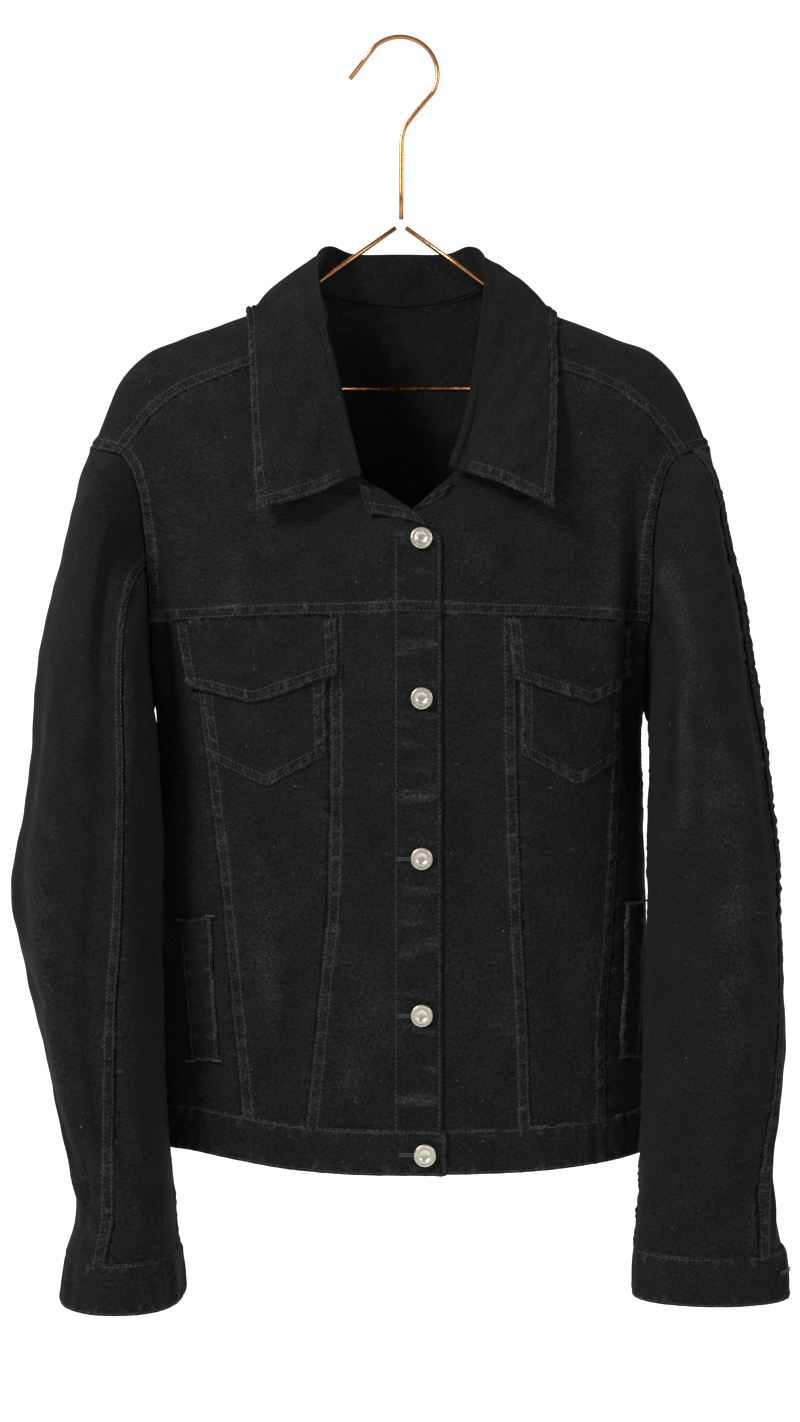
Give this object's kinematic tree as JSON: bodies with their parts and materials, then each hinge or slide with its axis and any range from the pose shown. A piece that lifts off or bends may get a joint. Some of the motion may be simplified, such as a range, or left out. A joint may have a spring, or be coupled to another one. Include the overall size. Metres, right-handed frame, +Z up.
{
  "type": "denim jacket on a wire hanger",
  "caption": "Buttoned black denim jacket with a folded collar, chest flap pockets and welt pockets, hanging hollow on a copper wire hanger",
  "frame": {"origin": "The top of the inside of the hanger's hook, where a rail carries the weight", "axes": "+Z up, the jacket faces -Y, +X is the wearer's left; the hanger's wire lies in the XZ plane"},
  "size_m": [0.5681, 0.2037, 0.9525],
  "materials": {
    "denim": "washed black cotton twill, matt, worn lighter along seams and edges",
    "copper_wire": "bright copper-plated steel wire",
    "button_metal": "pale antique-silver metal shank buttons with a dished centre"
  },
  "bodies": {
    "root": {"hanger_hook": "copper_wire", "hanger_arm_right": "copper_wire", "hanger_arm_left": "copper_wire", "hanger_bar": "copper_wire", "yoke": "denim", "front_upper_right": "denim", "front_upper_left": "denim", "front_centre_right": "denim", "front_centre_left": "denim", "front_pocket_right": "denim", "front_pocket_left": "denim", "front_side_right": "denim", "front_side_left": "denim", "back_panel": "denim", "waistband": "denim", "sleeve_upper_right": "denim", "sleeve_under_right": "denim", "sleeve_upper_left": "denim", "sleeve_under_left": "denim", "cuff_right": "denim", "cuff_left": "denim", "collar": "denim", "pocket_right": "denim", "pocket_left": "denim", "pocket_flap_right": "denim", "pocket_flap_left": "denim", "welt_right": "denim", "welt_left": "denim", "turned_corner_right": "denim", "turned_corner_left": "denim", "button_1": "button_metal", "button_2": "button_metal", "button_3": "button_metal", "button_4": "button_metal", "button_5": "button_metal", "cuff_button_right": "button_metal", "cuff_button_left": "button_metal"}
  },
  "joints": []
}
